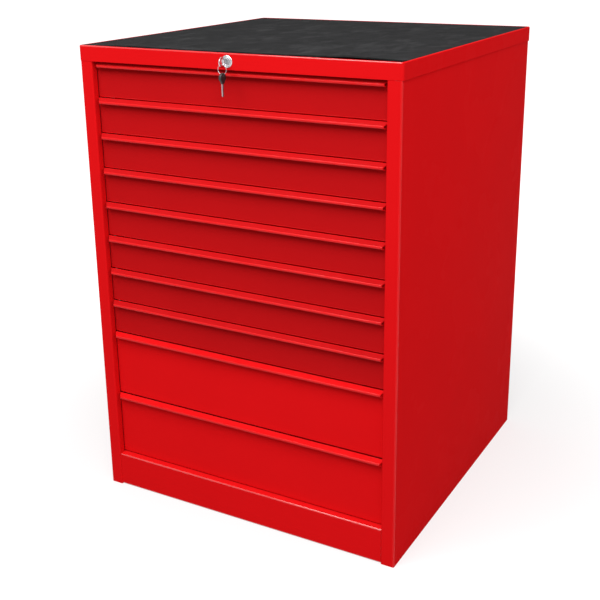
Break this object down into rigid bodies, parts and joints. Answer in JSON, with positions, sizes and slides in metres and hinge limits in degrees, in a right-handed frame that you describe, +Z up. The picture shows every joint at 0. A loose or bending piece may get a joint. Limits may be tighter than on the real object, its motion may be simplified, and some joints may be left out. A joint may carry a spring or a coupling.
{
  "type": "workshop drawer cabinet",
  "caption": "Floor-standing sheet-steel workshop cabinet with stacked full-width drawers on telescopic runners, slanted lip handles, a matted top tray and a central lock.",
  "frame": {"origin": "on the floor, in the middle of the cabinet's footprint without the keys", "axes": "+X to the right as seen from the front, +Y from the front to the back, +Z up"},
  "size_m": [0.717, 0.753, 1],
  "materials": {
    "red_paint": "gloss",
    "zinc": "satin",
    "chrome": "polished",
    "steel": "satin",
    "rubber_mat": "matt",
    "black_plastic": "satin"
  },
  "bodies": {
    "cabinet": {"left_side_panel": "red_paint", "right_side_panel": "red_paint", "back_panel": "red_paint", "back_panel_screws": "zinc", "floor_panel": "red_paint", "front_plinth": "red_paint", "top_cap": "red_paint", "worktop_mat": "rubber_mat", "slotted_posts": "zinc", "cabinet_rails": "zinc", "lock_housing": "chrome", "lock_clip": "steel", "lock_guides": "zinc"},
    "drawer_1": {"drawer_1_tray": "red_paint", "drawer_1_front": "red_paint", "drawer_1_rails": "zinc"},
    "runners_1": {"drawer_1_runners": "zinc"},
    "drawer_2": {"drawer_2_tray": "red_paint", "drawer_2_front": "red_paint", "drawer_2_rails": "zinc"},
    "runners_2": {"drawer_2_runners": "zinc"},
    "drawer_3": {"drawer_3_tray": "red_paint", "drawer_3_front": "red_paint", "drawer_3_rails": "zinc"},
    "runners_3": {"drawer_3_runners": "zinc"},
    "drawer_4": {"drawer_4_tray": "red_paint", "drawer_4_front": "red_paint", "drawer_4_rails": "zinc"},
    "runners_4": {"drawer_4_runners": "zinc"},
    "drawer_5": {"drawer_5_tray": "red_paint", "drawer_5_front": "red_paint", "drawer_5_rails": "zinc"},
    "runners_5": {"drawer_5_runners": "zinc"},
    "drawer_6": {"drawer_6_tray": "red_paint", "drawer_6_front": "red_paint", "drawer_6_rails": "zinc"},
    "runners_6": {"drawer_6_runners": "zinc"},
    "drawer_7": {"drawer_7_tray": "red_paint", "drawer_7_front": "red_paint", "drawer_7_rails": "zinc"},
    "runners_7": {"drawer_7_runners": "zinc"},
    "drawer_8": {"drawer_8_tray": "red_paint", "drawer_8_front": "red_paint", "drawer_8_rails": "zinc"},
    "runners_8": {"drawer_8_runners": "zinc"},
    "drawer_9": {"drawer_9_tray": "red_paint", "drawer_9_front": "red_paint", "drawer_9_rails": "zinc"},
    "runners_9": {"drawer_9_runners": "zinc"},
    "drawer_10": {"drawer_10_tray": "red_paint", "drawer_10_front": "red_paint", "drawer_10_rails": "zinc"},
    "runners_10": {"drawer_10_runners": "zinc"},
    "lock_core": {"lock_plug": "chrome", "lock_rod": "steel", "key": "chrome"},
    "lock_bar": {"lock_bar": "zinc"},
    "key_ring": {"key_ring": "chrome"},
    "spare_key": {"spare_key_head": "black_plastic", "spare_key_blade": "chrome"}
  },
  "joints": [
    {"name": "drawer_1_slide", "type": "slide", "parent": "cabinet", "child": "drawer_1", "axis": [0, -1, 0], "range_m": [0, 0.6]},
    {"name": "runners_1_slide", "type": "slide", "parent": "cabinet", "child": "runners_1", "axis": [0, -1, 0], "range_m": [0, 0.3]},
    {"name": "drawer_2_slide", "type": "slide", "parent": "cabinet", "child": "drawer_2", "axis": [0, -1, 0], "range_m": [0, 0.6]},
    {"name": "runners_2_slide", "type": "slide", "parent": "cabinet", "child": "runners_2", "axis": [0, -1, 0], "range_m": [0, 0.3]},
    {"name": "drawer_3_slide", "type": "slide", "parent": "cabinet", "child": "drawer_3", "axis": [0, -1, 0], "range_m": [0, 0.6]},
    {"name": "runners_3_slide", "type": "slide", "parent": "cabinet", "child": "runners_3", "axis": [0, -1, 0], "range_m": [0, 0.3]},
    {"name": "drawer_4_slide", "type": "slide", "parent": "cabinet", "child": "drawer_4", "axis": [0, -1, 0], "range_m": [0, 0.6]},
    {"name": "runners_4_slide", "type": "slide", "parent": "cabinet", "child": "runners_4", "axis": [0, -1, 0], "range_m": [0, 0.3]},
    {"name": "drawer_5_slide", "type": "slide", "parent": "cabinet", "child": "drawer_5", "axis": [0, -1, 0], "range_m": [0, 0.6]},
    {"name": "runners_5_slide", "type": "slide", "parent": "cabinet", "child": "runners_5", "axis": [0, -1, 0], "range_m": [0, 0.3]},
    {"name": "drawer_6_slide", "type": "slide", "parent": "cabinet", "child": "drawer_6", "axis": [0, -1, 0], "range_m": [0, 0.6]},
    {"name": "runners_6_slide", "type": "slide", "parent": "cabinet", "child": "runners_6", "axis": [0, -1, 0], "range_m": [0, 0.3]},
    {"name": "drawer_7_slide", "type": "slide", "parent": "cabinet", "child": "drawer_7", "axis": [0, -1, 0], "range_m": [0, 0.6]},
    {"name": "runners_7_slide", "type": "slide", "parent": "cabinet", "child": "runners_7", "axis": [0, -1, 0], "range_m": [0, 0.3]},
    {"name": "drawer_8_slide", "type": "slide", "parent": "cabinet", "child": "drawer_8", "axis": [0, -1, 0], "range_m": [0, 0.6]},
    {"name": "runners_8_slide", "type": "slide", "parent": "cabinet", "child": "runners_8", "axis": [0, -1, 0], "range_m": [0, 0.3]},
    {"name": "drawer_9_slide", "type": "slide", "parent": "cabinet", "child": "drawer_9", "axis": [0, -1, 0], "range_m": [0, 0.6]},
    {"name": "runners_9_slide", "type": "slide", "parent": "cabinet", "child": "runners_9", "axis": [0, -1, 0], "range_m": [0, 0.3]},
    {"name": "drawer_10_slide", "type": "slide", "parent": "cabinet", "child": "drawer_10", "axis": [0, -1, 0], "range_m": [0, 0.6]},
    {"name": "runners_10_slide", "type": "slide", "parent": "cabinet", "child": "runners_10", "axis": [0, -1, 0], "range_m": [0, 0.3]},
    {"name": "lock_turn", "type": "hinge", "parent": "cabinet", "child": "lock_core", "pos_m": [0, -0.3625, 0.984], "axis": [0, 1, 0], "range_deg": [0, 90]},
    {"name": "lock_bar_lift", "type": "slide", "parent": "cabinet", "child": "lock_bar", "axis": [0, 0, -1], "range_m": [0, 0.00778]},
    {"name": "key_ring_swing", "type": "hinge", "parent": "lock_core", "child": "key_ring", "pos_m": [0, -0.3795, 0.9765], "axis": [0, 1, 0], "range_deg": [-90, 0]},
    {"name": "spare_key_swing", "type": "hinge", "parent": "key_ring", "child": "spare_key", "pos_m": [0, -0.3795, 0.9618], "axis": [1, 0, 0], "range_deg": [-75, 15]}
  ],
  "couplings": [
    {"joint": "runners_1_slide", "follows": "drawer_1_slide", "ratio": 0.5},
    {"joint": "runners_2_slide", "follows": "drawer_2_slide", "ratio": 0.5},
    {"joint": "runners_3_slide", "follows": "drawer_3_slide", "ratio": 0.5},
    {"joint": "runners_4_slide", "follows": "drawer_4_slide", "ratio": 0.5},
    {"joint": "runners_5_slide", "follows": "drawer_5_slide", "ratio": 0.5},
    {"joint": "runners_6_slide", "follows": "drawer_6_slide", "ratio": 0.5},
    {"joint": "runners_7_slide", "follows": "drawer_7_slide", "ratio": 0.5},
    {"joint": "runners_8_slide", "follows": "drawer_8_slide", "ratio": 0.5},
    {"joint": "runners_9_slide", "follows": "drawer_9_slide", "ratio": 0.5},
    {"joint": "runners_10_slide", "follows": "drawer_10_slide", "ratio": 0.5},
    {"joint": "lock_turn", "follows": "lock_bar_lift", "rad_per_m": 201.95},
    {"joint": "key_ring_swing", "follows": "lock_bar_lift", "rad_per_m": -201.95}
  ]
}
